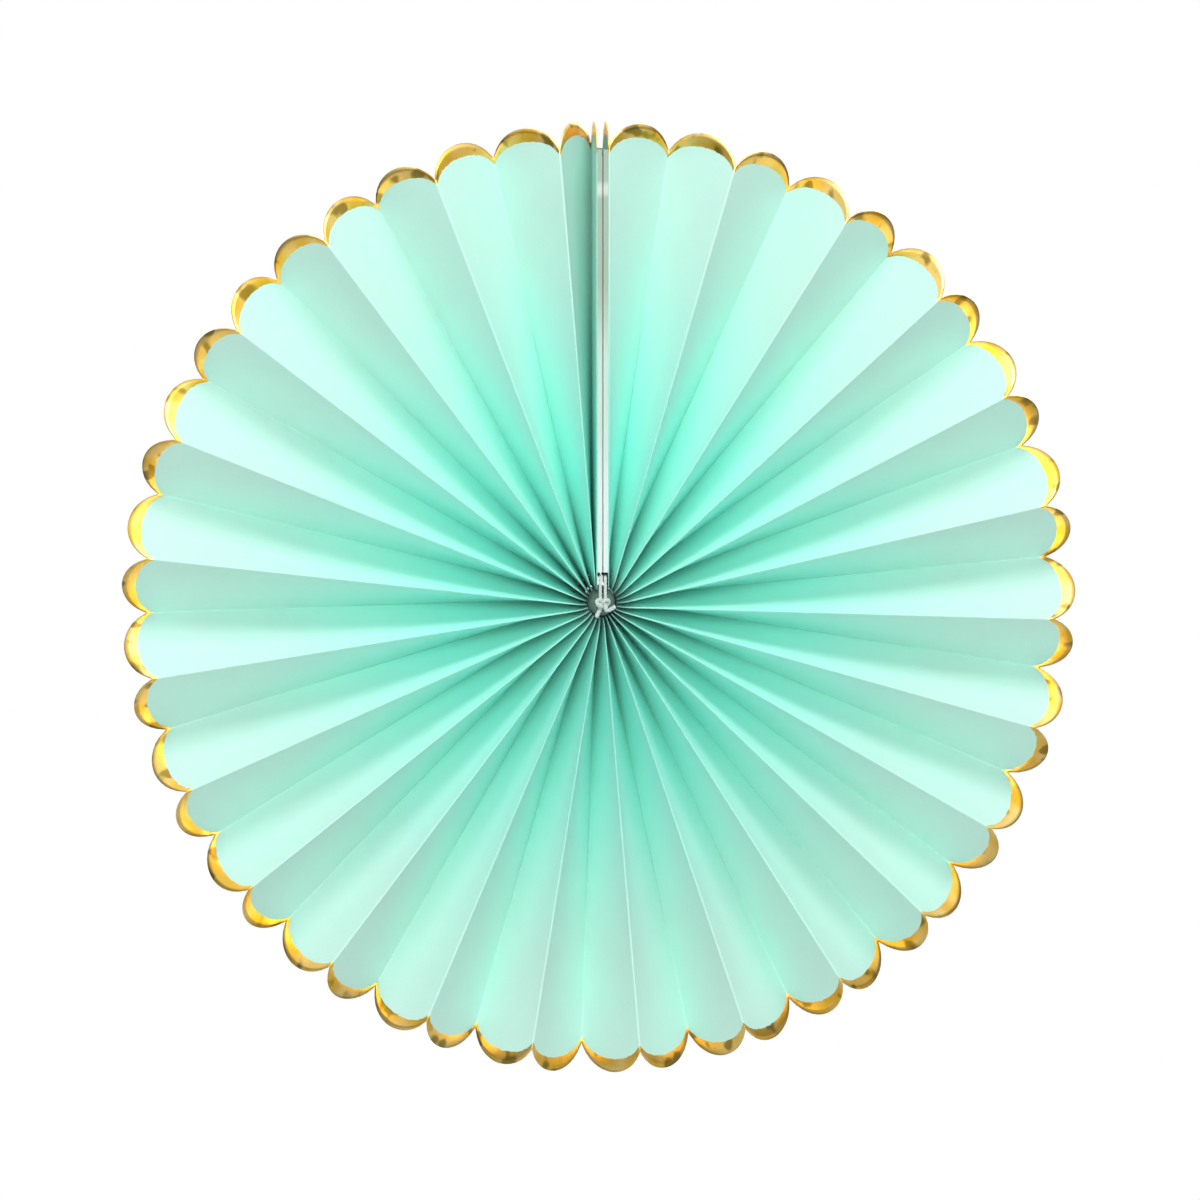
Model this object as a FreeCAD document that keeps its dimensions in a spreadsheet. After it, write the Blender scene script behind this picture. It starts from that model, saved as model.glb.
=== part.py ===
import FreeCAD, Part
import math
import os

# A hanging paper fan rosette. A long strip of paper is folded into pleats, tied
# through one edge and opened to a full circle. The disc stands in the XZ plane with
# its front towards -Y, the seam at the top (+Z) and the hub's centre at the origin.

os.makedirs("parts", exist_ok=True)
doc = FreeCAD.newDocument("paper_fan_rosette")

# Driving sizes, in mm, degrees and plain counts or shares

SIZES = [
    ("rosette_diameter", 230.0, "over the tips of the scallops"),
    ("shown_panels", 49, "panels between the two end boards"),
    ("rim_depth", 14.0, "front to back of an average pleat at the rim"),
    ("scallop_depth", 6.2, "from a notch to the tip of a scallop"),
    ("paper_thickness", 0.2, ""),
    ("hub_gap", 0.2, "between neighbouring panels at their inner ends"),
    ("spread_bias", 0.08, "share by which the widest pleats open more than the average"),
    ("widest_at", -20.0, "degrees clockwise from the seam where the pleats open widest"),
    ("last_panel_share", 0.58, "opening of the panel left of the seam, as a share of the others"),
    ("board_thickness", 1.2, "one of the two card boards in the seam"),
    ("board_to_thread", 0.6, "clear of the tie thread at the boards' inner end"),
    ("board_end_margin", 0.5, "from the notches in to the boards' outer end"),
    ("adhesive_thickness", 0.2, "between the two boards"),
    ("adhesive_margin", 1.5, "from the boards' edges in to the adhesive"),
    ("thread_thickness", 0.8, ""),
    ("strand_gap", 0.4, "between the thread's two strands"),
    ("thread_inset", 3.0, "from the panels' inner ends to the thread's holes"),
    ("hole_clearance", 0.22, "round the thread in its holes"),
    ("knot_clearance", 0.4, "round the knot in the mouth of the hub"),
    ("knot_proud", 1.4, "by which the knot stands out in front"),
]

sheet = doc.addObject("Spreadsheet::Sheet", "sizes")
for row, (alias, value, note) in enumerate(SIZES, start=1):
    sheet.set(f"A{row}", alias)
    sheet.set(f"B{row}", str(value))
    sheet.set(f"C{row}", note)
    sheet.setAlias(f"B{row}", alias)
doc.recompute()


def derived(alias, expression):
    """Adds a cell that is worked out from the driving sizes."""
    row = derived.next_row
    derived.next_row += 1
    sheet.set(f"A{row}", alias)
    sheet.set(f"B{row}", "=" + expression)
    sheet.setAlias(f"B{row}", alias)


derived.next_row = len(SIZES) + 2

derived("notch_radius", "rosette_diameter / 2 - scallop_depth")
derived("seam_half", "adhesive_thickness / 2 + board_thickness + paper_thickness / 2")
doc.recompute()
# The inner ends crowd together until only the hub gap is left between them.
derived("hub_radius", "(shown_panels * (paper_thickness + hub_gap) + 2 * seam_half) / (2 * pi)")
doc.recompute()
derived("rim_pitch", "2 * pi * notch_radius / shown_panels")
derived("thread_ring_radius", "hub_radius + thread_inset")
doc.recompute()
# Every panel is a strip of constant width, set by the pitch and depth at the rim.
derived("panel_width", "sqrt(rim_pitch ^ 2 + rim_depth ^ 2)")
derived("board_start", "thread_ring_radius + thread_thickness / 2 + board_to_thread")
derived("board_end", "notch_radius - board_end_margin")
derived("knot_radius", "hub_radius - knot_clearance")
doc.recompute()
derived("strand_depth", "panel_width / 2 - thread_thickness / 2")
derived("strand_offset", "(thread_thickness + strand_gap) / 2")
doc.recompute()


def size(alias):
    return float(sheet.get(alias))


# Fold lines. Fold 0 and the last one are the strip's free ends. Folds 1 and
# shown_panels + 1 lie on the boards. Odd folds are at the front, even ones at the back.

COUNT = int(round(size("shown_panels")))
WIDTH = size("panel_width")
HALF_PAPER = size("paper_thickness") / 2
STATION_COUNT = 8
STATION_GROWTH = 1.4
THREAD_SIDES = 6


def fold_directions():
    """Clockwise angle of each shown fold from the seam, in radians."""
    bias = size("spread_bias")
    widest = math.radians(size("widest_at"))
    shares = []
    for index in range(COUNT):
        middle = 2 * math.pi * (index + 0.5) / COUNT
        shares.append(1 + bias * math.cos(middle - widest))
    shares[-1] *= size("last_panel_share")
    turn = 2 * math.pi / sum(shares)
    directions = [0.0]
    for share in shares:
        directions.append(directions[-1] + turn * share)
    return directions


DIRECTIONS = fold_directions()


def plan_point(fold, distance):
    """A shown fold's point in the plane of the disc, at a distance along the fold.

    The folds beside the seam run parallel to it, half the seam's width away. The
    offset fades to nothing opposite the seam."""
    angle = DIRECTIONS[fold - 1]
    offset = size("seam_half") * (1 - angle / math.pi)
    across = distance * math.sin(angle) + offset * math.cos(angle)
    up = distance * math.cos(angle) - offset * math.sin(angle)
    return across, up


def station_points(distance):
    """The middle of the paper at every fold, at one distance from the hub.

    Each panel keeps its width, so the depth from fold to fold follows from the
    distance between the folds in plan. The small remainder is spread evenly."""
    plan = [plan_point(fold, distance) for fold in range(1, COUNT + 2)]
    depths = [-WIDTH / 2]
    for panel in range(COUNT):
        chord = math.dist(plan[panel], plan[panel + 1])
        step = math.sqrt(WIDTH ** 2 - chord ** 2)
        depths.append(depths[-1] + (step if panel % 2 == 0 else -step))
    last_depth = WIDTH / 2 if COUNT % 2 else -WIDTH / 2
    remainder = last_depth - depths[-1]
    points = []
    for index, (across, up) in enumerate(plan):
        depth = depths[index] + remainder * index / COUNT
        points.append(FreeCAD.Vector(across, depth, up))
    first = FreeCAD.Vector(points[0].x, -points[0].y, points[0].z)
    last = FreeCAD.Vector(points[-1].x, -points[-1].y, points[-1].z)
    return [first] + points + [last]


def stations():
    """Distances from the hub's centre: the inner ends, the thread's holes, and then
    steps that grow longer towards the rim."""
    thread = size("thread_ring_radius")
    reach = size("notch_radius") - thread
    steps = [thread + reach * (step / (STATION_COUNT - 1)) ** STATION_GROWTH for step in range(STATION_COUNT)]
    return [size("hub_radius")] + steps


STATIONS = stations()
MIDDLE = [station_points(distance) for distance in STATIONS]
LAST_FOLD = COUNT + 2


def fold_tangent(station, fold):
    ahead = min(station + 1, STATION_COUNT)
    behind = max(station - 1, 0)
    return (MIDDLE[ahead][fold] - MIDDLE[behind][fold]).normalize()


def paper_sides(station, fold):
    """Corners of the paper's section at a fold.

    Returns for the front and the back side of the strip the corner of the panel
    before the fold and of the panel after it. On the inside of a fold the two
    meet in one point. The outside is a narrow flat crest."""
    here = MIDDLE[station][fold]
    tangent = fold_tangent(station, fold)
    normals = []
    runs = []
    for other, sign in ((fold - 1, 1), (fold + 1, -1)):
        if 0 <= other <= LAST_FOLD:
            run = (here - MIDDLE[station][other]) * sign
            run = run - tangent * run.dot(tangent)
            runs.append(run.normalize())
            normals.append(tangent.cross(run).normalize())
    if len(normals) == 1:
        front = here - normals[0] * HALF_PAPER
        back = here + normals[0] * HALF_PAPER
        return {"front": (front, front), "back": (back, back)}
    before, after = normals
    mitre = (before + after) * (HALF_PAPER / (1 + before.dot(after)))
    outward = (runs[0] - runs[1]).normalize()
    sides = {}
    for name, sign in (("front", -1), ("back", 1)):
        if (mitre * sign).dot(outward) < 0:
            corner = here + mitre * sign
            sides[name] = (corner, corner)
            continue
        crest = []
        for normal, along in ((before, runs[0]), (after, -runs[1])):
            flank = here + normal * (sign * HALF_PAPER)
            short = (HALF_PAPER - (flank - here).dot(outward)) / along.dot(outward)
            crest.append(flank + along * short)
        sides[name] = tuple(crest)
    return sides


SECTIONS = [[paper_sides(station, fold) for fold in range(LAST_FOLD + 1)]
            for station in range(STATION_COUNT + 1)]
BEFORE, AFTER = 0, 1


def corner(station, fold, side, part):
    return SECTIONS[station][fold][side][part]


def flat_face(*points):
    return Part.Face(Part.makePolygon([*points, points[0]]))


def flat_band(start_line, end_line):
    """A twisted band between two lines of points, as flat triangles."""
    faces = []
    for station in range(STATION_COUNT):
        near_start, far_start = start_line[station:station + 2]
        near_end, far_end = end_line[station:station + 2]
        faces.append(flat_face(near_start, near_end, far_end))
        faces.append(flat_face(near_start, far_end, far_start))
    return faces


def crease(fold, side, part):
    """The points that a corner of the section passes from the hub to the notch."""
    return [corner(station, fold, side, part) for station in range(STATION_COUNT + 1)]


def lobe_arc(panel, side):
    """Outline of a panel's scallop on one side of the paper."""
    start = corner(STATION_COUNT, panel, side, AFTER)
    end = corner(STATION_COUNT, panel + 1, side, BEFORE)
    chord = (end - start).normalize()
    outward = fold_tangent(STATION_COUNT, panel) + fold_tangent(STATION_COUNT, panel + 1)
    outward = (outward - chord * outward.dot(chord)).normalize()
    tip = (start + end) * 0.5 + outward * size("scallop_depth")
    return Part.Arc(start, tip, end).toShape()


def panel_faces(panel):
    """Both sides of a panel, its scallop with the cut edge, and its inner end."""
    faces = []
    arcs = []
    ends = []
    for side in ("front", "back"):
        start_line = crease(panel, side, AFTER)
        end_line = crease(panel + 1, side, BEFORE)
        faces += flat_band(start_line, end_line)
        arc = lobe_arc(panel, side)
        chord = Part.makeLine(end_line[-1], start_line[-1])
        faces.append(Part.Face(Part.Wire([arc, chord])))
        arcs.append(arc)
        ends += [start_line[0], end_line[0]]
    faces.append(Part.makeRuledSurface(*arcs))
    front_start, front_end, back_start, back_end = ends
    faces.append(flat_face(front_start, front_end, back_end))
    faces.append(flat_face(front_start, back_end, back_start))
    return faces


def fold_faces(fold):
    """The flat crest along the outside of a fold, and its two ends."""
    outer, inner = "front", "back"
    if corner(0, fold, "front", BEFORE) == corner(0, fold, "front", AFTER):
        outer, inner = inner, outer
    faces = flat_band(crease(fold, outer, BEFORE), crease(fold, outer, AFTER))
    for station in (0, STATION_COUNT):
        faces.append(flat_face(corner(station, fold, outer, BEFORE), corner(station, fold, outer, AFTER),
                               corner(station, fold, inner, BEFORE)))
    return faces


def end_faces(fold, part):
    """The cut edge along a free end of the strip."""
    return flat_band(crease(fold, "front", part), crease(fold, "back", part))


def pleated_strip():
    faces = end_faces(0, AFTER) + end_faces(LAST_FOLD, BEFORE)
    for panel in range(LAST_FOLD):
        faces += panel_faces(panel)
    for fold in range(1, LAST_FOLD):
        faces += fold_faces(fold)
    shell = Part.makeShell(faces)
    shell.sewShape()
    solid = Part.makeSolid(shell)
    if solid.Volume < 0:
        solid.reverse()
    return solid


strip = doc.addObject("Part::Feature", "strip")
strip.Label = "strip_before_holes"
strip.Shape = pleated_strip()


def thread_holes_shape():
    """One hole through the middle of every panel, all on the thread's circle."""
    ring_radius = size("thread_ring_radius")
    hole_radius = size("thread_thickness") / 2 + size("hole_clearance")
    depth = 2 * math.pi * ring_radius / COUNT - size("paper_thickness")
    folds = station_points(ring_radius)
    holes = []
    for start, end in zip(folds, folds[1:]):
        outward = FreeCAD.Vector(start.x + end.x, 0, start.z + end.z).normalize()
        along_thread = FreeCAD.Vector(outward.z, 0, -outward.x)
        centre = outward * ring_radius - along_thread * (depth / 2)
        corners = []
        for side in range(THREAD_SIDES):
            angle = 2 * math.pi * side / THREAD_SIDES
            spoke = outward * math.cos(angle) + FreeCAD.Vector(0, math.sin(angle), 0)
            corners.append(centre + spoke * hole_radius)
        holes.append(flat_face(*corners).extrude(along_thread * depth))
    return holes[0].fuse(holes[1:])


thread_holes = doc.addObject("Part::Feature", "thread_holes")
thread_holes.Shape = thread_holes_shape()

pleated_sheet = doc.addObject("Part::Cut", "pleated_sheet")
pleated_sheet.Base = strip
pleated_sheet.Tool = thread_holes

# End boards and the adhesive between them


def add_slab(name, thickness, side, start, end, margin):
    """A flat slab in the seam. side is -1 left of the seam, 1 right of it, 0 across it."""
    slab = doc.addObject("Part::Box", name)
    slab.setExpression("Length", thickness)
    slab.setExpression("Width", f"sizes.panel_width - 2 * ({margin})")
    slab.setExpression("Height", f"({end}) - ({start})")
    inner_face = {1: "sizes.adhesive_thickness / 2",
                  -1: f"-sizes.adhesive_thickness / 2 - {thickness}",
                  0: f"-({thickness}) / 2"}[side]
    slab.setExpression("Placement.Base.x", inner_face)
    slab.setExpression("Placement.Base.y", f"-sizes.panel_width / 2 + ({margin})")
    slab.setExpression("Placement.Base.z", start)
    return slab


end_board_right = add_slab("end_board_right", "sizes.board_thickness", 1,
                           "sizes.board_start", "sizes.board_end", "0")
end_board_left = add_slab("end_board_left", "sizes.board_thickness", -1,
                          "sizes.board_start", "sizes.board_end", "0")
adhesive_strip = add_slab("adhesive_strip", "sizes.adhesive_thickness", 0,
                          "sizes.board_start + sizes.adhesive_margin",
                          "sizes.board_end - sizes.adhesive_margin", "sizes.adhesive_margin")

# Tie thread: the ring through the panels, the two strands that come forward
# between the end panels and down to the hub, and the knot in the hub's mouth.
# The thread and its holes are drawn with six sides.

UPRIGHT = FreeCAD.Rotation(FreeCAD.Vector(1, 0, 0), 90)


def add_strand(name, side):
    """One strand from the ring to the front, and down to the knot."""
    forward = doc.addObject("Part::Prism", name + "_forward")
    down = doc.addObject("Part::Prism", name + "_down")
    for piece in (forward, down):
        piece.Polygon = THREAD_SIDES
        piece.setExpression("Circumradius", "sizes.thread_thickness / 2")
        piece.setExpression("Placement.Base.x", f"{side} * sizes.strand_offset")
    forward.Placement.Rotation = UPRIGHT
    forward.setExpression("Height", "sizes.strand_depth")
    forward.setExpression("Placement.Base.z", "sizes.thread_ring_radius")
    down.setExpression("Height", "sizes.thread_ring_radius + sizes.thread_thickness / 2")
    down.setExpression("Placement.Base.y", "-sizes.strand_depth")
    return [forward, down]


thread_section = doc.addObject("Part::RegularPolygon", "thread_section")
thread_section.Polygon = THREAD_SIDES
thread_section.setExpression("Circumradius", "sizes.thread_thickness / 2")
thread_section.setExpression("Placement.Base.x", "sizes.thread_ring_radius")

thread_ring = doc.addObject("Part::Revolution", "thread_ring")
thread_ring.Source = thread_section
thread_ring.Axis = FreeCAD.Vector(0, 1, 0)
thread_ring.Angle = 360
thread_ring.Solid = True

knot = doc.addObject("Part::Sphere", "knot")
knot.setExpression("Radius", "sizes.knot_radius")
knot.setExpression("Placement.Base.y", "-sizes.panel_width / 2 - sizes.knot_proud + sizes.knot_radius")

tie_thread = doc.addObject("Part::MultiFuse", "tie_thread")
tie_thread.Shapes = [thread_ring, knot, *add_strand("right_strand", 1), *add_strand("left_strand", -1)]

NODES = [pleated_sheet, end_board_left, end_board_right, adhesive_strip, tie_thread]
for node in NODES:
    node.Label = node.Name

doc.recompute()

for item in doc.Objects:
    if "Invalid" in item.State or "Error" in item.State:
        raise RuntimeError(f"{item.Label} failed: {item.State}")
for node in NODES:
    if node.Shape.isNull() or not node.Shape.isValid():
        raise RuntimeError(f"{node.Label} has no valid shape")

for node in NODES:
    node.Shape.exportStep(f"parts/{node.Label}.step")
    box = node.Shape.BoundBox
    print(f"{node.Label}: {len(node.Shape.Solids)} solid, {node.Shape.Volume:.1f} mm3, "
          f"{box.XLength:.1f} x {box.YLength:.1f} x {box.ZLength:.1f} mm")
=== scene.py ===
import functools
import math
import random

import bmesh
import bpy
from mathutils import Matrix, Vector


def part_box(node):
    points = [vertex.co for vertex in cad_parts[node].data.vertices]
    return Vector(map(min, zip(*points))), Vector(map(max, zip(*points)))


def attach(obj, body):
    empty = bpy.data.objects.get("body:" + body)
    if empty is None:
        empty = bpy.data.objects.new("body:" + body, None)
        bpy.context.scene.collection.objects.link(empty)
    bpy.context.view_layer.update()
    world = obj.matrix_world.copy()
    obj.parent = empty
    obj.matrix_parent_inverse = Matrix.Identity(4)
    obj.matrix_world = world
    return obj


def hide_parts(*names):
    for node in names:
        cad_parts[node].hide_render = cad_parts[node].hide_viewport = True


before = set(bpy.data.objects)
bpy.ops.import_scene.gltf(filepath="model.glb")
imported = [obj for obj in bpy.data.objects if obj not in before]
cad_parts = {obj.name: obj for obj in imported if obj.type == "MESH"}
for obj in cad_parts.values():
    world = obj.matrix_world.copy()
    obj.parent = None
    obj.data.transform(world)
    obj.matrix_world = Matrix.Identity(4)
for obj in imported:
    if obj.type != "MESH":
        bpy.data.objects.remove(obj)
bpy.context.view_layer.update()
MM = 0.001

scene = bpy.context.scene
scene.view_settings.view_transform = "Standard"

# Camera: a little to the left of the rosette's axis and above it

VIEW_LEFT = math.radians(4.0)
VIEW_ABOVE = math.radians(6.0)
VIEW_DISTANCE = 1.3
LENS = 162.0
SENSOR_WIDTH = 36.0


def add_camera():
    data = bpy.data.cameras.new("camera")
    data.lens = LENS
    data.sensor_width = SENSOR_WIDTH
    camera = bpy.data.objects.new("camera", data)
    scene.collection.objects.link(camera)
    towards = Vector((-math.sin(VIEW_LEFT) * math.cos(VIEW_ABOVE),
                      -math.cos(VIEW_LEFT) * math.cos(VIEW_ABOVE),
                      math.sin(VIEW_ABOVE)))
    camera.location = towards * VIEW_DISTANCE
    camera.rotation_euler = towards.to_track_quat("Z", "Y").to_euler()
    scene.camera = camera


add_camera()

# Making of materials


class Number:
    """A socket that carries one number. Arithmetic on it adds Math nodes."""

    def __init__(self, finish, socket):
        self.finish = finish
        self.socket = socket

    def maths(self, operation, *values):
        inputs = dict(enumerate(values))
        return self.finish.number("ShaderNodeMath", {"operation": operation}, inputs)

    def __add__(self, other):
        return self.maths("ADD", self, other)

    def __radd__(self, other):
        return self.maths("ADD", other, self)

    def __sub__(self, other):
        return self.maths("SUBTRACT", self, other)

    def __rsub__(self, other):
        return self.maths("SUBTRACT", other, self)

    def __mul__(self, other):
        return self.maths("MULTIPLY", self, other)

    def __abs__(self):
        return self.maths("ABSOLUTE", self)

    def larger(self, other):
        return self.maths("MAXIMUM", self, other)

    def step(self, low, high):
        """0 below low, 1 above high, and a smooth rise between them."""
        return self.finish.number("ShaderNodeMapRange", {"interpolation_type": "SMOOTHSTEP"},
                                  {"Value": self, "From Min": low, "From Max": high})


class Finish:
    """The nodes of a material or of the world."""

    def __init__(self, owner):
        owner.use_nodes = True
        self.owner = owner
        self.tree = owner.node_tree
        self.tree.nodes.clear()

    def add(self, kind, settings=None, inputs=None):
        node = self.tree.nodes.new(kind)
        for key, value in (settings or {}).items():
            setattr(node, key, value)
        for key, value in (inputs or {}).items():
            if isinstance(value, Number):
                value = value.socket
            if isinstance(value, bpy.types.NodeSocket):
                self.tree.links.new(value, node.inputs[key])
            else:
                node.inputs[key].default_value = value
        return node

    def number(self, kind, settings=None, inputs=None, output=0):
        return Number(self, self.add(kind, settings, inputs).outputs[output])

    def noise(self, place, scale, detail, roughness=0.5):
        return self.number("ShaderNodeTexNoise", {"noise_dimensions": "3D"},
                           {"Vector": place, "Scale": scale, "Detail": detail, "Roughness": roughness})

    def blend(self, share, first, second):
        """The first colour where share is 0 and the second where it is 1."""
        node = self.add("ShaderNodeMix", {"data_type": "RGBA"}, {0: share, 6: first, 7: second})
        return node.outputs[2]

    def place(self, stretch=(1.0, 1.0, 1.0)):
        """Object coordinates, stretched along their axes."""
        coordinates = self.add("ShaderNodeTexCoord").outputs["Object"]
        return self.add("ShaderNodeMapping", None, {"Vector": coordinates, "Scale": stretch}).outputs[0]

    def along(self, axis):
        """How far the surface lies along one axis of the object, in mm."""
        axes = self.add("ShaderNodeSeparateXYZ", None, {0: self.place()})
        return Number(self, axes.outputs[axis]) * 1000.0

    def surface(self, inputs, height, strength, distance):
        """Ends a material: a surface with a bump of the given height."""
        bump = self.add("ShaderNodeBump", None,
                        {"Height": height, "Strength": strength, "Distance": distance})
        shader = self.add("ShaderNodeBsdfPrincipled", None, {**inputs, "Normal": bump.outputs[0]})
        self.add("ShaderNodeOutputMaterial", None, {"Surface": shader.outputs[0]})
        return self.owner


def colour(red, green, blue):
    """A colour as it reads on a screen, from 0 to 255, as linear light."""
    linear = []
    for part in (red, green, blue):
        part /= 255
        linear.append(part / 12.92 if part <= 0.04045 else ((part + 0.055) / 1.055) ** 2.4)
    return (*linear, 1.0)


# The mint paper and its foil. Widths and distances are in mm.

FOIL_AT_PEAK = 3.3
FOIL_AT_NOTCH = 1.5
FOIL_WAVER = 0.5
PAINTED_BOUNCE_UP_TO = 22.0
PAINTED_BOUNCE_ENDS = 92.0
HUB_DARK_UP_TO = 4.5
HUB_DARK_ENDS = 9.0
MAP_SPAN = 100.0

# The inner mint is painted bounce light, greener and brighter than the rim's mint
INNER_MINT_PAINTED_BOUNCE = colour(166, 252, 239)
RIM_MINT = colour(191, 231, 219)
CLOUDY_MINT = colour(184, 246, 228)
PALE_FIBRE = colour(222, 246, 240)
PAINTED_CREASE_SHADE = colour(112, 204, 174)
HUB_SHADE = colour(92, 128, 119)
PALE_GOLD = colour(255, 222, 136)
DEEP_GOLD = colour(242, 196, 74)
PAINTED_DARK_REFLECTION_GOLD = colour(122, 104, 30)
WORN_GOLD = colour(198, 156, 46)


def mint_paper():
    """Matt mint paper with a gold foil line along the edge of each scallop. Its tint holds painted
    light: painted bounce light that makes it greener and brighter towards the hub, painted shade in the
    creases near the hub and round the hub, and painted dark reflections in olive patches of the foil.

    The UV map gives the share across the panel and the distance from the edge."""
    finish = Finish(bpy.data.materials.new("mint_paper"))
    position = finish.add("ShaderNodeUVMap", {"uv_map": "panel"}).outputs[0]
    split = finish.add("ShaderNodeSeparateXYZ", None, {0: position})
    across = Number(finish, split.outputs[0])
    from_edge = Number(finish, split.outputs[1]) * MAP_SPAN
    place = finish.place()
    from_hub = finish.number("ShaderNodeVectorMath", {"operation": "LENGTH"},
                             {0: finish.place((1000.0, 0.0, 1000.0))}, 1)

    off_middle = across * 2.0 - 1.0
    waver = (finish.noise(place, 900.0, 1.0) - 0.5) * FOIL_WAVER
    foil_width = FOIL_AT_PEAK - off_middle * off_middle * (FOIL_AT_PEAK - FOIL_AT_NOTCH) + waver
    foil = (foil_width - from_edge).step(-0.06, 0.06)

    cloud = finish.noise(place, 45.0, 1.0)
    grain = finish.noise(place, 2600.0, 1.0, 0.65)
    fibres = finish.noise(finish.place((1.0, 1.0, 0.25)), 1500.0, 0.0)
    crease_shade_mask = abs(off_middle).step(0.978, 0.996)
    fade_of_painted_bounce = from_hub.step(PAINTED_BOUNCE_UP_TO, PAINTED_BOUNCE_ENDS)
    inwards = 1.0 - from_hub.step(HUB_DARK_UP_TO, HUB_DARK_ENDS)

    # Painted bounce light: towards the hub the tint turns greener and brighter, standing in for light
    # bounced between the pleats
    tint = finish.blend(fade_of_painted_bounce, INNER_MINT_PAINTED_BOUNCE, RIM_MINT)
    tint = finish.blend(cloud.step(0.3, 0.7) * 0.3, tint, CLOUDY_MINT)
    tint = finish.blend(grain.step(0.35, 0.75) * 0.12, tint, PALE_FIBRE)
    # Painted shade: the creases are painted a darker green near the hub
    tint = finish.blend(crease_shade_mask * (1.0 - fade_of_painted_bounce) * 0.6, tint, PAINTED_CREASE_SHADE)
    tint = finish.blend(inwards * 0.5, tint, HUB_SHADE)

    gold = finish.blend(finish.noise(place, 130.0, 1.0).step(0.4, 0.68), PALE_GOLD, DEEP_GOLD)
    # Painted dark reflections: random patches of the foil are painted olive and dark
    gold = finish.blend(finish.noise(place, 210.0, 1.0).step(0.56, 0.68) * 0.75, gold, PAINTED_DARK_REFLECTION_GOLD)
    gold = finish.blend(grain.step(0.55, 0.8) * 0.3, gold, WORN_GOLD)

    paper_roughness = 0.62 + grain * 0.14
    foil_roughness = 0.24 + grain * 0.2
    roughness = paper_roughness + foil * (foil_roughness - paper_roughness)
    height = (grain * 0.7 + fibres * 0.5) * (1.0 - foil * 0.6) + foil * 0.9
    return finish.surface({"Base Color": finish.blend(foil, tint, gold), "Roughness": roughness,
                           "Metallic": foil}, height, 0.35, 0.04 * MM)


# The card of the boards. Heights are in mm above the hub.

LOWER_CARD_ENDS = 30.0
MIDDLE_CARD_FROM = 58.0
MIDDLE_CARD_ENDS = 62.0
UPPER_CARD_FROM = 88.0
PATCH_SHIFT = 16.0
PALE_BAND_HEIGHT = 100.0

LOWER_CARD = colour(208, 226, 224)
MIDDLE_CARD_PAINTED_SHADE = colour(188, 215, 204)
UPPER_CARD_PAINTED_SHADE = colour(156, 179, 162)
PALE_BAND_CARD = colour(222, 229, 224)
CARD_PLY = colour(166, 180, 170)
CARD_FLECK = colour(170, 174, 160)


def white_card():
    """Uncoated card. It is painted greyer towards the rim, as painted shade, and its plies show on the
    cut edges.
    """
    finish = Finish(bpy.data.materials.new("white_card"))
    up = finish.along("Z")
    patches = finish.noise(finish.place((1.0, 1.0, 0.35)), 120.0, 3.0)
    plies = finish.noise(finish.place((1.0, 0.05, 0.02)), 4200.0, 2.0)
    fleck = finish.noise(finish.place(), 2400.0, 3.0, 0.6)
    patchy_up = up + patches * PATCH_SHIFT
    # A paler band across the card about 100 mm above the hub
    pale_band = 1.0 - abs(up - PALE_BAND_HEIGHT + patches * 2.0).step(0.6, 2.4)
    # Painted shade: the card turns greyer in two steps towards the rim
    tone = finish.blend(patchy_up.step(LOWER_CARD_ENDS, MIDDLE_CARD_FROM), LOWER_CARD, MIDDLE_CARD_PAINTED_SHADE)
    tone = finish.blend(patchy_up.step(MIDDLE_CARD_ENDS, UPPER_CARD_FROM), tone, UPPER_CARD_PAINTED_SHADE)
    tone = finish.blend(pale_band * 0.6, tone, PALE_BAND_CARD)
    tone = finish.blend(plies.step(0.5, 0.7) * 0.2, tone, CARD_PLY)
    tone = finish.blend(fleck.step(0.62, 0.75) * 0.25, tone, CARD_FLECK)
    return finish.surface({"Base Color": tone, "Roughness": 0.78 + fleck * 0.14},
                          plies * 0.6 + fleck * 0.6, 0.4, 0.06 * MM)


GUM = colour(206, 210, 192)
PALE_GUM = colour(216, 218, 203)


def tape():
    """Double-sided tape with a faint ripple of gum."""
    finish = Finish(bpy.data.materials.new("adhesive"))
    gum = finish.noise(finish.place(), 700.0, 3.0)
    tone = finish.blend(gum.step(0.35, 0.7), GUM, PALE_GUM)
    return finish.surface({"Base Color": tone, "Roughness": 0.35 + gum * 0.2}, gum, 0.3, 0.05 * MM)


COTTON = colour(190, 206, 199)
PALE_COTTON = colour(205, 216, 211)
FUZZ_SHADE = colour(158, 174, 168)
PAINTED_SHADE_COTTON = colour(60, 108, 95)
UNSHADED_UP_TO = -9.7
PAINTED_SHADE_FROM = -8.8


def cotton():
    """White cotton thread with fine fuzz. It is painted darker where it lies deep in the hub, as painted
    shade.
    """
    finish = Finish(bpy.data.materials.new("white_thread"))
    place = finish.place()
    fuzz = finish.noise(place, 5200.0, 4.0, 0.7)
    soil = finish.noise(place, 240.0, 3.0)
    tone = finish.blend(soil.step(0.35, 0.7), COTTON, PALE_COTTON)
    tone = finish.blend(fuzz.step(0.5, 0.8) * 0.3, tone, FUZZ_SHADE)
    # Painted shade: deeper in the hub the thread is painted dark grey-green
    tone = finish.blend(finish.along("Y").step(UNSHADED_UP_TO, PAINTED_SHADE_FROM) * 0.9, tone, PAINTED_SHADE_COTTON)
    return finish.surface({"Base Color": tone, "Roughness": 0.86, "Sheen Weight": 0.15,
                           "Sheen Roughness": 0.5}, fuzz, 0.5, 0.05 * MM)


# Making of pieces


def finished_mesh(mesh_builder, name):
    mesh = bpy.data.meshes.new(name)
    mesh_builder.to_mesh(mesh)
    mesh_builder.free()
    return mesh


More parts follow.
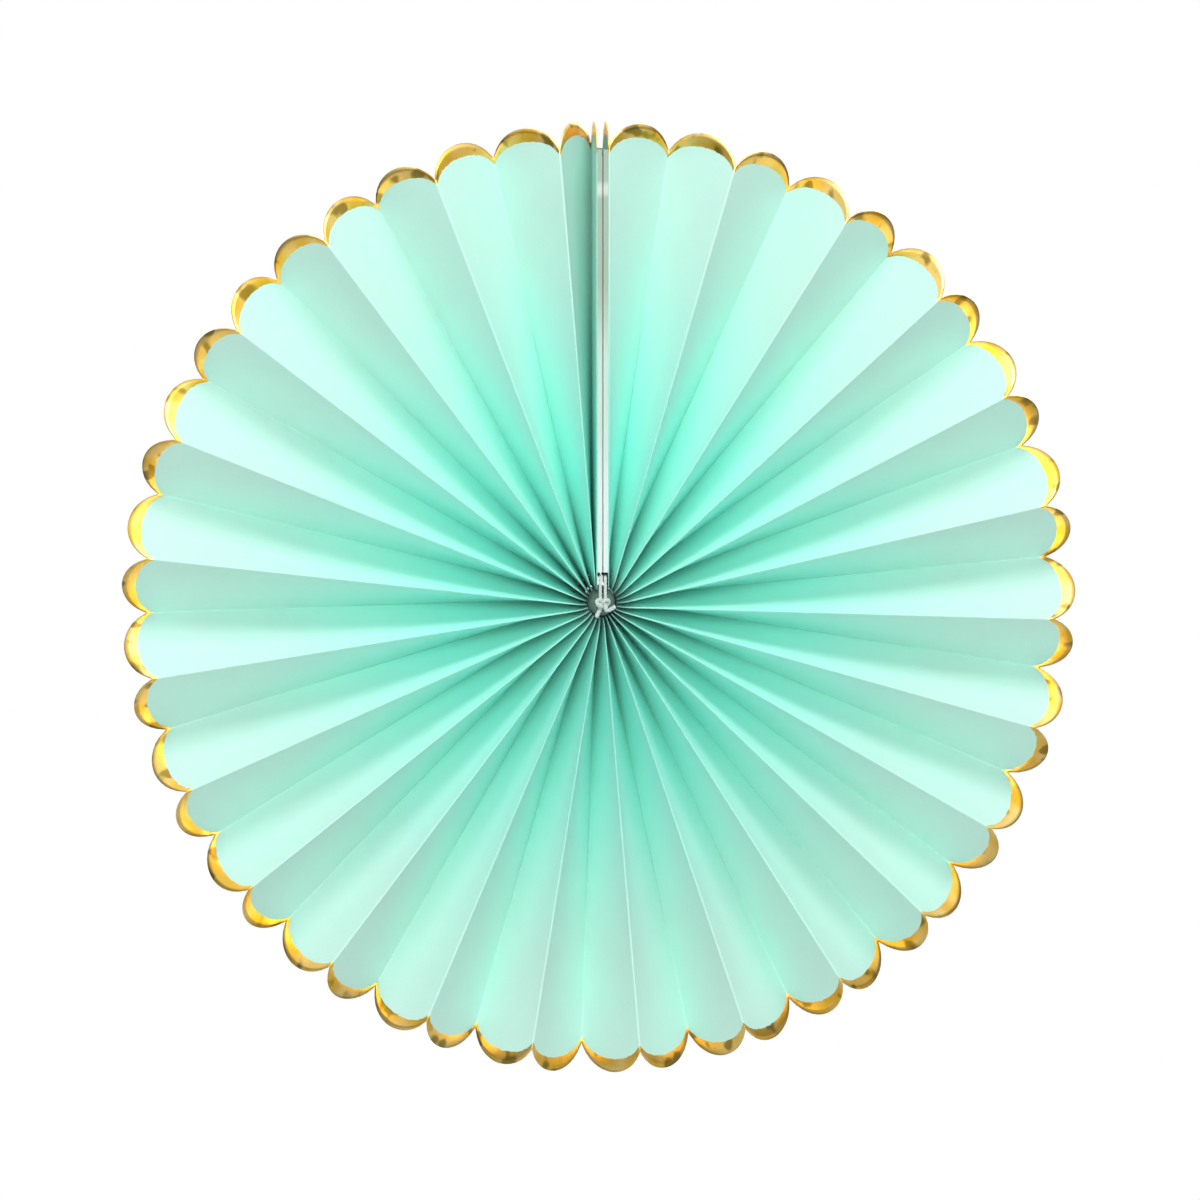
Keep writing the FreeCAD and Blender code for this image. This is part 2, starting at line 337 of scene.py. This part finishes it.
def new_piece(name, mesh, material, node):
    """A piece of the visual model, which stands in for a CAD node."""
    piece = bpy.data.objects.new(name, mesh)
    scene.collection.objects.link(piece)
    mesh.materials.append(material)
    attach(piece, "root")
    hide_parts(node)
    return piece


def shade_smooth(mesh):
    for face in mesh.polygons:
        face.use_smooth = True


# The pleated paper. Sizes are in mm until the mesh is finished.

DIAMETER = 230.0
SHOWN_PANELS = 49
RIM_DEPTH = 14.0
SCALLOP_DEPTH = 6.2
PAPER = 0.2
HUB_GAP = 0.2
SPREAD_BIAS = 0.08
WIDEST_AT = math.radians(-20.0)
LAST_PANEL_SHARE = 0.58
BOARD = 1.2
TAPE = 0.2
THREAD_INSET = 3.0
THREAD = 0.8
HOLE_RADIUS = 0.62

# What the paper has beside its plain folded form: a cup round the knot, into which
# the front folds sink, a trimmed edge, rounded creases and a small unevenness

CUP_RADIUS = 6.6
CUP_DEPTH = 2.4
EDGE_TRIM = 0.05
CREASE_ROUND = 0.1
CREASE_REACH = 0.03
SPREAD_CHANCE = 0.018
BOW = 0.35
CURL = 0.7

NOTCH_RADIUS = DIAMETER / 2 - SCALLOP_DEPTH
SEAM_HALF = TAPE / 2 + BOARD + PAPER / 2
HUB_RADIUS = (SHOWN_PANELS * (PAPER + HUB_GAP) + 2 * SEAM_HALF) / (2 * math.pi)
THREAD_RADIUS = HUB_RADIUS + THREAD_INSET
RIM_PITCH = 2 * math.pi * NOTCH_RADIUS / SHOWN_PANELS
PANEL_WIDTH = math.hypot(RIM_PITCH, RIM_DEPTH)
ARC_RADIUS = (PANEL_WIDTH ** 2 / 4 + SCALLOP_DEPTH ** 2) / (2 * SCALLOP_DEPTH)
PANELS = SHOWN_PANELS + 2

chance = random.Random(23)


def fold_directions():
    """Clockwise angle of each shown fold from the seam, with a small unevenness."""
    shares = []
    for index in range(SHOWN_PANELS):
        middle = 2 * math.pi * (index + 0.5) / SHOWN_PANELS
        bias = 1 + SPREAD_BIAS * math.cos(middle - WIDEST_AT)
        shares.append(bias * (1 + chance.uniform(-SPREAD_CHANCE, SPREAD_CHANCE)))
    shares[-1] *= LAST_PANEL_SHARE
    turn = 2 * math.pi / sum(shares)
    directions = [0.0]
    for share in shares:
        directions.append(directions[-1] + turn * share)
    return directions


def panel_offsets(reach):
    """A random offset for each shown panel, and none for the two glued ones."""
    return [0.0] + [chance.uniform(-reach, reach) for _ in range(SHOWN_PANELS)] + [0.0]


DIRECTIONS = fold_directions()
BOWS = panel_offsets(BOW)
CURLS = panel_offsets(CURL)


@functools.cache
def folds_at(distance):
    """The point of every fold at one distance from the hub's centre."""
    plan = []
    for angle in DIRECTIONS:
        offset = SEAM_HALF * (1 - angle / math.pi)
        plan.append((distance * math.sin(angle) + offset * math.cos(angle),
                     distance * math.cos(angle) - offset * math.sin(angle)))
    depths = [-PANEL_WIDTH / 2]
    for panel in range(SHOWN_PANELS):
        chord = math.dist(plan[panel], plan[panel + 1])
        rise = math.sqrt(PANEL_WIDTH ** 2 - chord ** 2)
        depths.append(depths[-1] + (rise if panel % 2 == 0 else -rise))
    remainder = PANEL_WIDTH / 2 - depths[-1]
    sunk = CUP_DEPTH * (max(CUP_RADIUS - distance, 0.0) / (CUP_RADIUS - HUB_RADIUS)) ** 2
    points = []
    for index, ((across, up), depth) in enumerate(zip(plan, depths)):
        depth += remainder * index / SHOWN_PANELS
        if index > 0 and depth < 0:
            depth += sunk
        points.append(Vector((across, depth, up)))
    first = Vector((points[0].x, -points[0].y, points[0].z))
    last = Vector((points[-1].x, -points[-1].y, points[-1].z))
    return [first] + points + [last]


def paper_point(panel, share, distance):
    """The middle of the paper at a share of a panel's width, with the panel's bow and curl."""
    start, end = folds_at(distance)[panel:panel + 2]
    point = start.lerp(end, share)
    outward = Vector((point.x, 0, point.z)).normalized()
    facing = (end - start).cross(outward).normalized()
    bow = BOWS[panel] * math.sin(math.pi * share) * (distance / NOTCH_RADIUS) ** 2
    curl = CURLS[panel] * (max(distance - NOTCH_RADIUS, 0.0) / SCALLOP_DEPTH) ** 2
    return point + facing * (bow + curl)


# The paper's mesh: columns at shares of each panel's width, and rows at distances
# from the hub's centre. The last rows follow the scalloped edge.

HOLE_SHARE = HOLE_RADIUS / PANEL_WIDTH
ACROSS = [0.0, 0.01, 0.022, 0.08, 0.15, 0.22, 0.29, 0.36, 0.43, 0.5 - HOLE_SHARE, 0.5]
ACROSS += [1 - share for share in reversed(ACROSS[:-1])]
MIDDLE_COLUMN = len(ACROSS) // 2
PER_PANEL = len(ACROSS) - 1
COLUMNS = PANELS * PER_PANEL
FIXED_ROWS = [HUB_RADIUS, 4.6, THREAD_RADIUS - HOLE_RADIUS, THREAD_RADIUS, THREAD_RADIUS + HOLE_RADIUS,
              8.6, 11.0, 15.0, 21.0, 30.0, 42.0, 56.0, 72.0, 88.0, 99.0]
HOLE_ROW = FIXED_ROWS.index(THREAD_RADIUS)
EDGE_ROWS = [0.3, 0.6, 0.8, 0.92, 1.0]
ROWS = len(FIXED_ROWS) + len(EDGE_ROWS)


def edge_distance(share):
    """Where the scalloped edge lies, at a share of the panel's width."""
    off_middle = (share - 0.5) * PANEL_WIDTH
    arc = math.sqrt(ARC_RADIUS ** 2 - off_middle ** 2)
    return NOTCH_RADIUS + SCALLOP_DEPTH - EDGE_TRIM - ARC_RADIUS + arc


def row_distance(row, share):
    if row < len(FIXED_ROWS):
        return FIXED_ROWS[row]
    start = FIXED_ROWS[-1]
    return start + (edge_distance(share) - start) * EDGE_ROWS[row - len(FIXED_ROWS)]


def flat_place(column, row):
    """Share of the panel's width and distance from the hub's centre, for a point of the mesh.

    The corners of the block round a thread hole are drawn in, so that the hole is round."""
    share = ACROSS[column]
    distance = row_distance(row, share)
    if abs(column - MIDDLE_COLUMN) == 1 and abs(row - HOLE_ROW) == 1:
        share = 0.5 + (share - 0.5) * math.sqrt(0.5)
        distance = THREAD_RADIUS + (distance - THREAD_RADIUS) * math.sqrt(0.5)
    return share, distance


def grid_cell(point):
    """Column and row of a point of the flat grid, whose sides run from -1 to 1."""
    column = round((point.x + 1) / 2 * COLUMNS)
    row = round((point.y + 1) / 2 * (ROWS - 1))
    return column, row


def map_paper(mesh_builder, cells):
    """Stores the share across the panel and the distance from the edge as a UV map."""
    layer = mesh_builder.loops.layers.uv.new("panel")
    for face in mesh_builder.faces:
        panel = min(cells[loop.vert][0] for loop in face.loops) // PER_PANEL
        for loop in face.loops:
            column, row = cells[loop.vert]
            share, distance = flat_place(column - panel * PER_PANEL, row)
            loop[layer].uv = (share, (edge_distance(share) - distance) / MAP_SPAN)


def fold_paper(mesh_builder, cells):
    """Moves the flat grid to its folded form, with rounded creases, and opens the thread holes."""
    holes = []
    for vertex in mesh_builder.verts:
        column, row = cells[vertex]
        panel = min(column // PER_PANEL, PANELS - 1)
        local = column - panel * PER_PANEL
        if local == MIDDLE_COLUMN and row == HOLE_ROW:
            holes.append(vertex)
        share, distance = flat_place(local, row)
        vertex.co = paper_point(panel, share, distance)
        if local == 0 and panel > 0:
            before = paper_point(panel - 1, 1 - CREASE_REACH, distance)
            after = paper_point(panel, CREASE_REACH, distance)
            vertex.co += ((before + after) / 2 - vertex.co).normalized() * CREASE_ROUND
    bmesh.ops.delete(mesh_builder, geom=holes, context="VERTS")


def pleated_paper():
    mesh_builder = bmesh.new()
    bmesh.ops.create_grid(mesh_builder, x_segments=COLUMNS, y_segments=ROWS - 1, size=1.0)
    cells = {vertex: grid_cell(vertex.co) for vertex in mesh_builder.verts}
    map_paper(mesh_builder, cells)
    fold_paper(mesh_builder, cells)
    bmesh.ops.scale(mesh_builder, vec=(MM, MM, MM), verts=mesh_builder.verts)
    bmesh.ops.recalc_face_normals(mesh_builder, faces=mesh_builder.faces)
    mesh = finished_mesh(mesh_builder, "pleated_paper")
    shade_smooth(mesh)
    piece = new_piece("pleated_paper", mesh, mint_paper(), "pleated_sheet")
    thickness = piece.modifiers.new("paper_thickness", "SOLIDIFY")
    thickness.thickness = PAPER * MM
    thickness.offset = 0.0


# The card boards and the tape between them. Sizes are in metres, and the wave of the
# dents is in radians per metre.

BOARD_ROUND = 0.18 * MM
BOARD_BANDS = 24
FRONT_BAND = 0.2 * MM
DENT_DEPTH = 0.12 * MM
DENT_WAVE = 310
DENT_SHIFT = 4000


def end_board(node, name, material):
    """A strip of card with rounded edges and a slightly dented front."""
    low, high = (Vector(corner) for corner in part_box(node))
    middle = (low + high) / 2
    extent = high - low
    mesh_builder = bmesh.new()
    bmesh.ops.create_cube(mesh_builder, size=1.0)
    bmesh.ops.scale(mesh_builder, vec=extent, verts=mesh_builder.verts)
    bmesh.ops.bevel(mesh_builder, geom=list(mesh_builder.edges), offset=BOARD_ROUND, segments=3,
                    profile=0.5, affect="EDGES", material=-1, clamp_overlap=True)
    for step in range(1, BOARD_BANDS):
        level = -extent.z / 2 + extent.z * step / BOARD_BANDS
        everything = [*mesh_builder.verts, *mesh_builder.edges, *mesh_builder.faces]
        bmesh.ops.bisect_plane(mesh_builder, geom=everything, plane_co=(0, 0, level), plane_no=(0, 0, 1))
    for vertex in mesh_builder.verts:
        if vertex.co.y < -extent.y / 2 + FRONT_BAND:
            dent = 0.5 + 0.5 * math.sin(vertex.co.z * DENT_WAVE + middle.x * DENT_SHIFT)
            vertex.co.y += DENT_DEPTH * dent * dent
    bmesh.ops.translate(mesh_builder, vec=middle, verts=mesh_builder.verts)
    bmesh.ops.recalc_face_normals(mesh_builder, faces=mesh_builder.faces)
    new_piece(name, finished_mesh(mesh_builder, name), material, node)


def dress_adhesive():
    adhesive = bpy.data.objects["adhesive_strip"]
    adhesive.data.materials.clear()
    adhesive.data.materials.append(tape())


# The thread: three plies twisted round a smooth line. Sizes are in mm.

PLY_COUNT = 3
PLY_PITCH = 2.6
PLY_OFFSET = 0.27
PLY_RADIUS = 0.25
POINT_SPACING = 0.32
SPLINE_STEPS = 6


def smooth_line(points):
    """Points along the smooth spline that a route gives."""
    data = bpy.data.curves.new("route", "CURVE")
    data.dimensions = "3D"
    data.resolution_u = SPLINE_STEPS
    spline = data.splines.new("NURBS")
    spline.points.add(len(points) - 1)
    for target, point in zip(spline.points, points):
        target.co = (*point, 1.0)
    spline.order_u = 3
    spline.use_endpoint_u = True
    route = bpy.data.objects.new("route", data)
    mesh = bpy.data.meshes.new_from_object(route)
    line = [vertex.co.copy() for vertex in mesh.vertices]
    bpy.data.objects.remove(route)
    bpy.data.curves.remove(data)
    bpy.data.meshes.remove(mesh)
    return line


def even_line(line, spacing):
    """The same line with evenly spaced points."""
    lengths = [0.0]
    for here, ahead in zip(line, line[1:]):
        lengths.append(lengths[-1] + (ahead - here).length)
    count = max(2, round(lengths[-1] / spacing))
    even = []
    index = 0
    for step in range(count + 1):
        wanted = lengths[-1] * step / count
        while index < len(line) - 2 and lengths[index + 1] < wanted:
            index += 1
        share = (wanted - lengths[index]) / max(lengths[index + 1] - lengths[index], 1e-9)
        even.append(line[index].lerp(line[index + 1], min(share, 1.0)))
    return even


def ply_lines(line, thickness):
    """Lines of the plies that twist round a line."""
    spacing = (line[1] - line[0]).length
    tangent = (line[1] - line[0]).normalized()
    side = tangent.orthogonal().normalized()
    lines = [[] for _ in range(PLY_COUNT)]
    for index, point in enumerate(line):
        ahead = line[min(index + 1, len(line) - 1)]
        behind = line[max(index - 1, 0)]
        turned = (ahead - behind).normalized()
        side = tangent.rotation_difference(turned) @ side
        tangent = turned
        other = tangent.cross(side)
        for ply in range(PLY_COUNT):
            angle = 2 * math.pi * (ply / PLY_COUNT + index * spacing / PLY_PITCH)
            around = side * math.cos(angle) + other * math.sin(angle)
            lines[ply].append(point + around * thickness * PLY_OFFSET)
    return lines


STRAND_SIDE = 0.6
RING_OPENING = 1.5
RING_STEPS = 26


def thread_route():
    """From the knot up in front of the hub, back between the end panels, round through
    every panel, and forward and down to the knot again."""
    front = -PANEL_WIDTH / 2 + THREAD / 2
    strand = [(front, 0.6), (front, 2.4), (front, 4.4), (front, 5.9), (front, THREAD_RADIUS),
              (front + 1.0, THREAD_RADIUS), (front + 3.5, THREAD_RADIUS), (-4.0, THREAD_RADIUS),
              (-1.2, THREAD_RADIUS), (-0.1, THREAD_RADIUS)]
    opening = math.asin(RING_OPENING / THREAD_RADIUS)
    run = [(STRAND_SIDE, deep, up) for deep, up in strand]
    for step in range(RING_STEPS + 1):
        angle = opening + (2 * math.pi - 2 * opening) * step / RING_STEPS
        run.append((THREAD_RADIUS * math.sin(angle), 0.0, THREAD_RADIUS * math.cos(angle)))
    return run + [(-STRAND_SIDE, deep, up) for deep, up in reversed(strand)]


KNOT_REACH = 0.52
KNOT_DEPTH = -9.9
KNOT_RELIEF = 0.62
KNOT_CUT = 0.34
KNOT_STEPS = 44
KNOT_THREAD = 1.3 * THREAD


def knot_route():
    """An overhand knot that lies flat in the hub's mouth, with two short tails."""
    run = []
    for step in range(KNOT_STEPS + 1):
        angle = math.pi + KNOT_CUT + (2 * math.pi - 2 * KNOT_CUT) * step / KNOT_STEPS
        run.append((KNOT_REACH * (math.sin(angle) + 2 * math.sin(2 * angle)),
                    KNOT_DEPTH + KNOT_RELIEF * math.sin(3 * angle),
                    KNOT_REACH * (math.cos(angle) - 2 * math.cos(2 * angle))))
    side_tail = [(2.9, -10.6, -0.5), (2.1, -10.5, -1.0), (1.2, -10.3, -1.5)]
    lower_tail = [(-1.0, -10.3, -1.8), (-1.4, -10.4, -2.4), (-1.5, -10.5, -3.0)]
    return side_tail + run + lower_tail


# The ball of wound thread. Its bluntness is 0 for an ellipsoid and near 1 for a cylinder.

BALL_LOOPS = 11
BALL_TILT = math.radians(72)
BALL_SWING = 0.97 * 2 * math.pi
LOOP_STEPS = 14
TURNS_RADIUS = 3.0
TURNS_HALF_LENGTH = 9.0
CORE_RADIUS = 3.5
CORE_HALF_LENGTH = 8.6
BALL_BLUNTNESS = 0.55


def on_ball(direction, radius, half_length):
    """The point that a direction gives on a ball drawn out along the hub."""
    ring = math.hypot(direction.x, direction.z)
    widened = radius * ring ** -BALL_BLUNTNESS if ring > 0 else 0.0
    return Vector((direction.x * widened, direction.y * half_length, direction.z * widened))


def ball_route():
    """Thread wound into a ball that fills the hub behind the knot."""
    steps = BALL_LOOPS * LOOP_STEPS
    run = []
    for step in range(steps + 1):
        turn = 2 * math.pi * BALL_LOOPS * step / steps
        swing = BALL_SWING * step / steps
        reach = math.sin(turn) * math.cos(BALL_TILT)
        direction = Vector((reach * math.cos(swing) - math.cos(turn) * math.sin(swing),
                            -math.sin(turn) * math.sin(BALL_TILT),
                            math.cos(turn) * math.cos(swing) + reach * math.sin(swing)))
        run.append(on_ball(direction, TURNS_RADIUS, TURNS_HALF_LENGTH))
    return run


def add_ball_core(mesh):
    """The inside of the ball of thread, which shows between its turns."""
    mesh_builder = bmesh.new()
    mesh_builder.from_mesh(mesh)
    core = bmesh.ops.create_icosphere(mesh_builder, subdivisions=5, radius=1.0)["verts"]
    for vertex in core:
        vertex.co = on_ball(vertex.co, CORE_RADIUS, CORE_HALF_LENGTH)
    mesh_builder.to_mesh(mesh)
    mesh_builder.free()


def tie_thread():
    data = bpy.data.curves.new("thread_plies", "CURVE")
    data.dimensions = "3D"
    data.bevel_depth = THREAD * PLY_RADIUS
    data.bevel_resolution = 2
    data.use_fill_caps = True
    routes = ((thread_route(), THREAD), (knot_route(), KNOT_THREAD), (ball_route(), THREAD))
    for route, thickness in routes:
        line = even_line(smooth_line(route), POINT_SPACING)
        for ply in ply_lines(line, thickness):
            spline = data.splines.new("POLY")
            spline.points.add(len(ply) - 1)
            for target, point in zip(spline.points, ply):
                target.co = (*point, 1.0)
                target.radius = thickness / THREAD
    curve = bpy.data.objects.new("thread_plies", data)
    mesh = bpy.data.meshes.new_from_object(curve)
    bpy.data.objects.remove(curve)
    add_ball_core(mesh)
    mesh.transform(Matrix.Scale(MM, 4))
    mesh.name = "twisted_thread"
    shade_smooth(mesh)
    new_piece("twisted_thread", mesh, cotton(), "tie_thread")


pleated_paper()
card = white_card()
end_board("end_board_left", "card_board_left", card)
end_board("end_board_right", "card_board_right", card)
tie_thread()
dress_adhesive()

# Floor, world and lamps. Sizes are in metres.

FLOOR_LEVEL = -0.26
FLOOR_SIZE = 30.0
FLOOR_GREY = (0.5, 0.5, 0.49, 1.0)
FLOOR_MATT_UP_TO = 0.2
FLOOR_WHITE_FROM = 0.5
WHITE = (1.0, 1.0, 1.0, 1.0)


def add_floor():
    """Matt and grey to the light. The camera sees it half white near the rosette and
    white further off."""
    mesh_builder = bmesh.new()
    bmesh.ops.create_grid(mesh_builder, x_segments=1, y_segments=1, size=FLOOR_SIZE)
    bmesh.ops.translate(mesh_builder, vec=(0, 0, FLOOR_LEVEL), verts=mesh_builder.verts)
    floor = bpy.data.objects.new("floor", finished_mesh(mesh_builder, "floor"))
    scene.collection.objects.link(floor)
    finish = Finish(bpy.data.materials.new("floor"))
    away = finish.number("ShaderNodeVectorMath", {"operation": "LENGTH"}, {0: finish.place()}, 1)
    seen = finish.number("ShaderNodeLightPath", None, None, "Is Camera Ray")
    share = seen * (0.5 + away.step(FLOOR_MATT_UP_TO, FLOOR_WHITE_FROM) * 0.5)
    matt = finish.add("ShaderNodeBsdfDiffuse", None, {"Color": FLOOR_GREY})
    white = finish.add("ShaderNodeEmission", None, {"Color": WHITE, "Strength": 1.0})
    mixed = finish.add("ShaderNodeMixShader", None, {0: share, 1: matt.outputs[0], 2: white.outputs[0]})
    finish.add("ShaderNodeOutputMaterial", None, {"Surface": mixed.outputs[0]})
    floor.data.materials.append(finish.owner)


AMBIENT_BELOW = 0.16
AMBIENT_ABOVE = 0.38
REFLECTED_BELOW = 0.12


def add_world():
    """White as seen by the camera. As light it is brighter above than below, and metal
    shows it lighter than matt surfaces do."""
    world = bpy.data.worlds.new("world")
    scene.world = world
    studio = Finish(world)
    direction = studio.add("ShaderNodeTexCoord").outputs["Generated"]
    split = studio.add("ShaderNodeSeparateXYZ", None, {0: direction})
    overhead = Number(studio, split.outputs["Z"]).step(-0.1, 0.75)
    backdrop = Number(studio, split.outputs["Y"]).step(0.55, 0.95)
    paths = studio.add("ShaderNodeLightPath")
    seen, shiny, through = (Number(studio, paths.outputs[name])
                            for name in ("Is Camera Ray", "Is Glossy Ray", "Is Transmission Ray"))
    ambient = AMBIENT_BELOW + overhead * (AMBIENT_ABOVE - AMBIENT_BELOW)
    reflected = (REFLECTED_BELOW + overhead * (1.0 - REFLECTED_BELOW)).larger(backdrop)
    strength = ambient + shiny.larger(through) * (reflected - ambient)
    strength = strength + seen * (1.0 - strength)
    background = studio.add("ShaderNodeBackground", None, {"Color": WHITE, "Strength": strength})
    studio.add("ShaderNodeOutputWorld", None, {"Surface": background.outputs[0]})


def add_lamp(name, place, width, height, power):
    """A rectangle of light that faces the hub."""
    data = bpy.data.lights.new(name, "AREA")
    data.shape = "RECTANGLE"
    data.size = width
    data.size_y = height
    data.energy = power
    lamp = bpy.data.objects.new(name, data)
    scene.collection.objects.link(lamp)
    lamp.location = place
    lamp.rotation_euler = Vector(place).to_track_quat("Z", "Y").to_euler()


add_floor()
add_world()
add_lamp("lamp_above", (0.1, -0.75, 1.35), 1.0, 0.6, 12.8)
add_lamp("lamp_front", (-0.15, -1.95, 0.25), 1.1, 1.0, 24.6)
add_lamp("lamp_back", (0.5, 1.7, 0.9), 1.2, 1.2, 20.0)

# Light paths: a few bounces carry the light down between the pleats

scene.cycles.diffuse_bounces = 4
scene.cycles.max_bounces = 6
scene.cycles.caustics_reflective = False
scene.cycles.caustics_refractive = False
